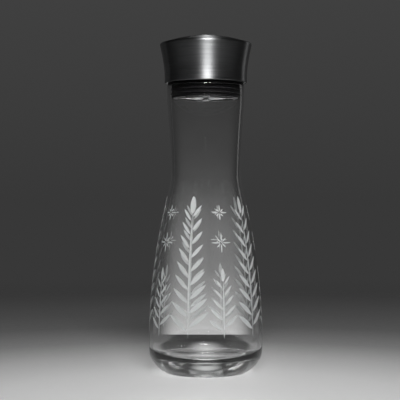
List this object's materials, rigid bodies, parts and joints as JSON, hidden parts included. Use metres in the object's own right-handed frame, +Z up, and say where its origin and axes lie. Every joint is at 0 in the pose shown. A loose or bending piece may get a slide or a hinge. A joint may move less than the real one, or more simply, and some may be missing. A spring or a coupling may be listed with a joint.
{
  "type": "carafe",
  "caption": "Waisted glass water carafe with a flared brushed-steel closure; tilting it rolls an inner ball that wedges two cones apart and lifts the domed lid to pour.",
  "frame": {"origin": "centre of the glass foot, on the table", "axes": "+Z up along the carafe's axis, +X the way the ball is drawn to roll, -Y towards the viewer of the picture"},
  "size_m": [0.098, 0.098, 0.2905],
  "materials": {
    "glass": "clear blown glass with a fire-polished rim",
    "brushed_steel": "stainless steel, brushed round the axis",
    "polished_steel": "stainless steel, polished",
    "silicone": "black silicone, satin",
    "black_plastic": "black moulded plastic, fine spark grain",
    "acetal": "natural acetal, turned"
  },
  "bodies": {
    "vessel": {"glass_body": "glass"},
    "closure": {"steel_collar": "brushed_steel", "pour_funnel": "polished_steel", "funnel_gasket": "silicone", "stopper_body": "black_plastic", "stopper_seal": "silicone", "retainer_plate": "polished_steel", "retainer_screw": "polished_steel", "ball_race": "acetal", "guide_spider": "black_plastic", "guide_bush": "acetal"},
    "lid": {"lid_dome": "brushed_steel", "lid_carrier": "black_plastic", "lid_seal": "silicone", "lid_nut": "polished_steel", "lift_stem": "polished_steel", "lift_cone": "acetal"},
    "ball": {"tilt_ball": "polished_steel"}
  },
  "joints": [
    {"name": "closure_lift", "type": "slide", "parent": "vessel", "child": "closure", "axis": [0, 0, 1], "range_m": [0, 0.04]},
    {"name": "lid_lift", "type": "slide", "parent": "closure", "child": "lid", "axis": [0, 0, 1], "range_m": [0, 0.0055]},
    {"name": "ball_roll", "type": "slide", "parent": "closure", "child": "ball", "axis": [0.9397, 0, 0.342], "range_m": [0, 0.00805]}
  ],
  "couplings": [
    {"joint": "ball_roll", "follows": "lid_lift", "ratio": 1.4619}
  ]
}
